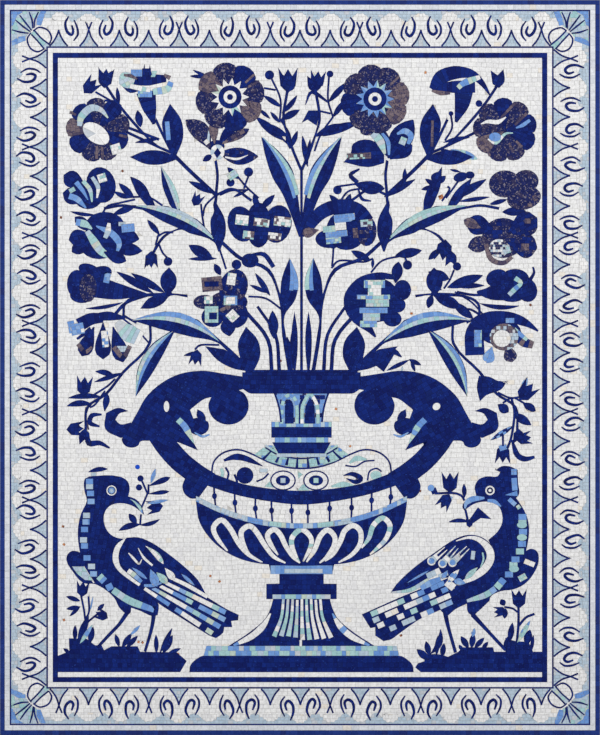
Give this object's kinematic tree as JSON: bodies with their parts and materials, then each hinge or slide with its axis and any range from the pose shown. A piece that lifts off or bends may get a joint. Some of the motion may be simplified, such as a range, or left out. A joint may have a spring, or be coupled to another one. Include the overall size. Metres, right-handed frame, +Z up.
{
  "type": "mosaic panel",
  "caption": "Rectangular blue-and-white mosaic wall panel: a footed urn of flowers between two birds, inside a scroll border with plain bands.",
  "frame": {"origin": "centre of the flat back face, on the wall", "axes": "+Z up the picture, +X to the right as the picture is seen, the picture faces -Y and the back faces +Y"},
  "size_m": [1.2, 0.02, 1.47],
  "materials": {
    "backing_board": "cement board, matt grey",
    "base_white_line": "white marble tesserae, honed",
    "bird_body_left": "cobalt blue opaque glass tesserae, satin",
    "bird_body_right": "cobalt blue opaque glass tesserae, satin",
    "bird_wing_and_tail_left": "pale aqua opaque glass tesserae, satin",
    "bird_wing_and_tail_right": "pale aqua opaque glass tesserae, satin",
    "border_pale_edge": "pale blue-grey stone tesserae, honed",
    "border_scrolls": "white marble tesserae, honed",
    "chequered_bloom_left": "cobalt blue opaque glass tesserae, satin",
    "chequered_bloom_right": "cobalt blue opaque glass tesserae, satin",
    "cornflower_left": "cobalt blue opaque glass tesserae, satin",
    "cornflower_right": "cobalt blue opaque glass tesserae, satin",
    "earth_left": "cobalt blue opaque glass tesserae, satin",
    "earth_right": "cobalt blue opaque glass tesserae, satin",
    "field_ground": "white marble tesserae, honed",
    "ground_between_legs_left": "white marble tesserae, honed",
    "ground_between_legs_right": "white marble tesserae, honed",
    "ground_in_handle_left": "white marble tesserae, honed",
    "ground_in_handle_right": "white marble tesserae, honed",
    "handle_left": "cobalt blue opaque glass tesserae, satin",
    "handle_right": "cobalt blue opaque glass tesserae, satin",
    "hanging_bloom_left": "cobalt blue opaque glass tesserae, satin",
    "hanging_bloom_right": "cobalt blue opaque glass tesserae, satin",
    "inner_blue_band": "cobalt blue opaque glass tesserae, satin",
    "inner_fine_line": "cobalt blue opaque glass tesserae, satin",
    "inner_white_line": "white marble tesserae, honed",
    "iris_left": "cobalt blue opaque glass tesserae, satin",
    "iris_right": "cobalt blue opaque glass tesserae, satin",
    "lily_left": "cobalt blue opaque glass tesserae, satin",
    "lily_right": "cobalt blue opaque glass tesserae, satin",
    "open_blossom_left": "cobalt blue opaque glass tesserae, satin",
    "open_blossom_right": "cobalt blue opaque glass tesserae, satin",
    "outer_blue_band": "cobalt blue opaque glass tesserae, satin",
    "outer_fine_line": "cobalt blue opaque glass tesserae, satin",
    "outer_white_line": "white marble tesserae, honed",
    "peony_left": "cobalt blue opaque glass tesserae, satin",
    "peony_right": "cobalt blue opaque glass tesserae, satin",
    "rosette_left": "cobalt blue opaque glass tesserae, satin",
    "rosette_right": "cobalt blue opaque glass tesserae, satin",
    "round_bloom_left": "cobalt blue opaque glass tesserae, satin",
    "round_bloom_right": "cobalt blue opaque glass tesserae, satin",
    "stems_and_leaves": "cobalt blue opaque glass tesserae, satin",
    "trumpet_left": "cobalt blue opaque glass tesserae, satin",
    "trumpet_right": "cobalt blue opaque glass tesserae, satin",
    "urn_baluster_band": "white marble tesserae, honed",
    "urn_base_strip": "pale aqua opaque glass tesserae, satin",
    "urn_blue_line": "mid-blue opaque glass tesserae, satin",
    "urn_bowl": "cobalt blue opaque glass tesserae, satin",
    "urn_collar": "pale aqua opaque glass tesserae, satin",
    "urn_dark_band": "cobalt blue opaque glass tesserae, satin",
    "urn_foot": "pale blue-grey stone tesserae, honed",
    "urn_neck": "mid-blue opaque glass tesserae, satin",
    "urn_neck_rings": "cobalt blue opaque glass tesserae, satin",
    "urn_plinth": "cobalt blue opaque glass tesserae, satin",
    "urn_rim": "cobalt blue opaque glass tesserae, satin",
    "urn_shoulder": "white marble tesserae, honed",
    "urn_stem": "cobalt blue opaque glass tesserae, satin"
  },
  "bodies": {
    "root": {"backing_board": "backing_board", "base_white_line": "base_white_line", "bird_body_left": "bird_body_left", "bird_body_right": "bird_body_right", "bird_wing_and_tail_left": "bird_wing_and_tail_left", "bird_wing_and_tail_right": "bird_wing_and_tail_right", "border_pale_edge": "border_pale_edge", "border_scrolls": "border_scrolls", "chequered_bloom_left": "chequered_bloom_left", "chequered_bloom_right": "chequered_bloom_right", "cornflower_left": "cornflower_left", "cornflower_right": "cornflower_right", "earth_left": "earth_left", "earth_right": "earth_right", "field_ground": "field_ground", "ground_between_legs_left": "ground_between_legs_left", "ground_between_legs_right": "ground_between_legs_right", "ground_in_handle_left": "ground_in_handle_left", "ground_in_handle_right": "ground_in_handle_right", "handle_left": "handle_left", "handle_right": "handle_right", "hanging_bloom_left": "hanging_bloom_left", "hanging_bloom_right": "hanging_bloom_right", "inner_blue_band": "inner_blue_band", "inner_fine_line": "inner_fine_line", "inner_white_line": "inner_white_line", "iris_left": "iris_left", "iris_right": "iris_right", "lily_left": "lily_left", "lily_right": "lily_right", "open_blossom_left": "open_blossom_left", "open_blossom_right": "open_blossom_right", "outer_blue_band": "outer_blue_band", "outer_fine_line": "outer_fine_line", "outer_white_line": "outer_white_line", "peony_left": "peony_left", "peony_right": "peony_right", "rosette_left": "rosette_left", "rosette_right": "rosette_right", "round_bloom_left": "round_bloom_left", "round_bloom_right": "round_bloom_right", "stems_and_leaves": "stems_and_leaves", "trumpet_left": "trumpet_left", "trumpet_right": "trumpet_right", "urn_baluster_band": "urn_baluster_band", "urn_base_strip": "urn_base_strip", "urn_blue_line": "urn_blue_line", "urn_bowl": "urn_bowl", "urn_collar": "urn_collar", "urn_dark_band": "urn_dark_band", "urn_foot": "urn_foot", "urn_neck": "urn_neck", "urn_neck_rings": "urn_neck_rings", "urn_plinth": "urn_plinth", "urn_rim": "urn_rim", "urn_shoulder": "urn_shoulder", "urn_stem": "urn_stem"}
  },
  "joints": []
}
